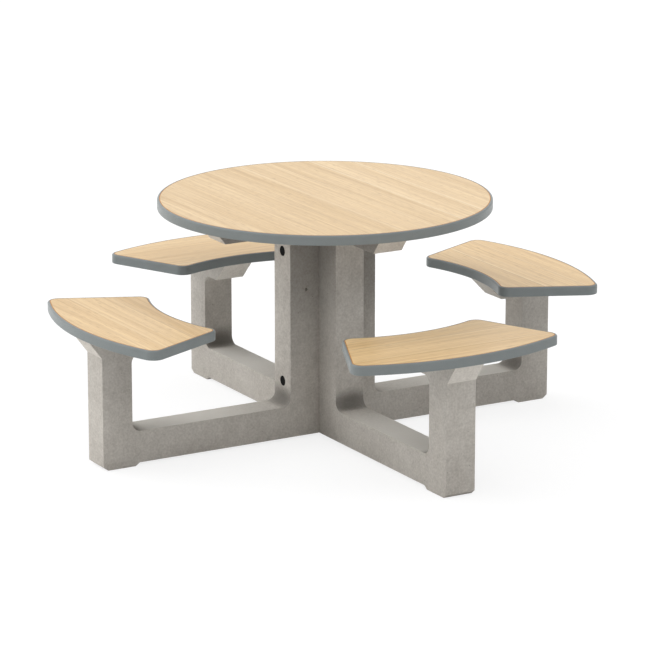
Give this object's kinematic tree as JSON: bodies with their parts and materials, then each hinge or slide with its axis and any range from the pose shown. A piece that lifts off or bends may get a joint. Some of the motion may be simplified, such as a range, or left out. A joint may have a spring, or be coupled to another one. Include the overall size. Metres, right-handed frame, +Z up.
{
  "type": "picnic table with attached seats",
  "caption": "Round laminate table with curved fixed seats on a cross-shaped concrete frame of posts, rails and slanted heads.",
  "frame": {"origin": "on the floor under the middle of the table", "axes": "+Z up; X along the main frame, +X towards the right seat; -Y towards the front seat"},
  "size_m": [1.722, 1.722, 0.75],
  "materials": {
    "concrete": "fair-faced cast concrete",
    "oak_laminate": "light oak decor laminate, satin",
    "edge_band": "grey moulded polyurethane, satin",
    "board_core": "wood-fibre board",
    "backing_sheet": "plain grey backing laminate",
    "zinc_steel": "zinc plated",
    "black_plastic": "black moulded polyethylene"
  },
  "bodies": {
    "root": {"main_frame": "concrete", "front_half_frame": "concrete", "rear_half_frame": "concrete", "frame_bolts": "zinc_steel", "frame_bolt_washers": "zinc_steel", "frame_sockets": "zinc_steel", "frame_bolt_caps": "black_plastic", "table_core": "board_core", "table_laminate": "oak_laminate", "table_backing": "backing_sheet", "table_edge_band": "edge_band", "front_seat_core": "board_core", "front_seat_laminate": "oak_laminate", "front_seat_backing": "backing_sheet", "front_seat_edge_band": "edge_band", "right_seat_core": "board_core", "right_seat_laminate": "oak_laminate", "right_seat_backing": "backing_sheet", "right_seat_edge_band": "edge_band", "rear_seat_core": "board_core", "rear_seat_laminate": "oak_laminate", "rear_seat_backing": "backing_sheet", "rear_seat_edge_band": "edge_band", "left_seat_core": "board_core", "left_seat_laminate": "oak_laminate", "left_seat_backing": "backing_sheet", "left_seat_edge_band": "edge_band", "table_bolts": "zinc_steel", "table_bolt_washers": "zinc_steel", "table_inserts": "zinc_steel", "seat_bolts": "zinc_steel", "seat_bolt_washers": "zinc_steel", "seat_inserts": "zinc_steel"}
  },
  "joints": []
}
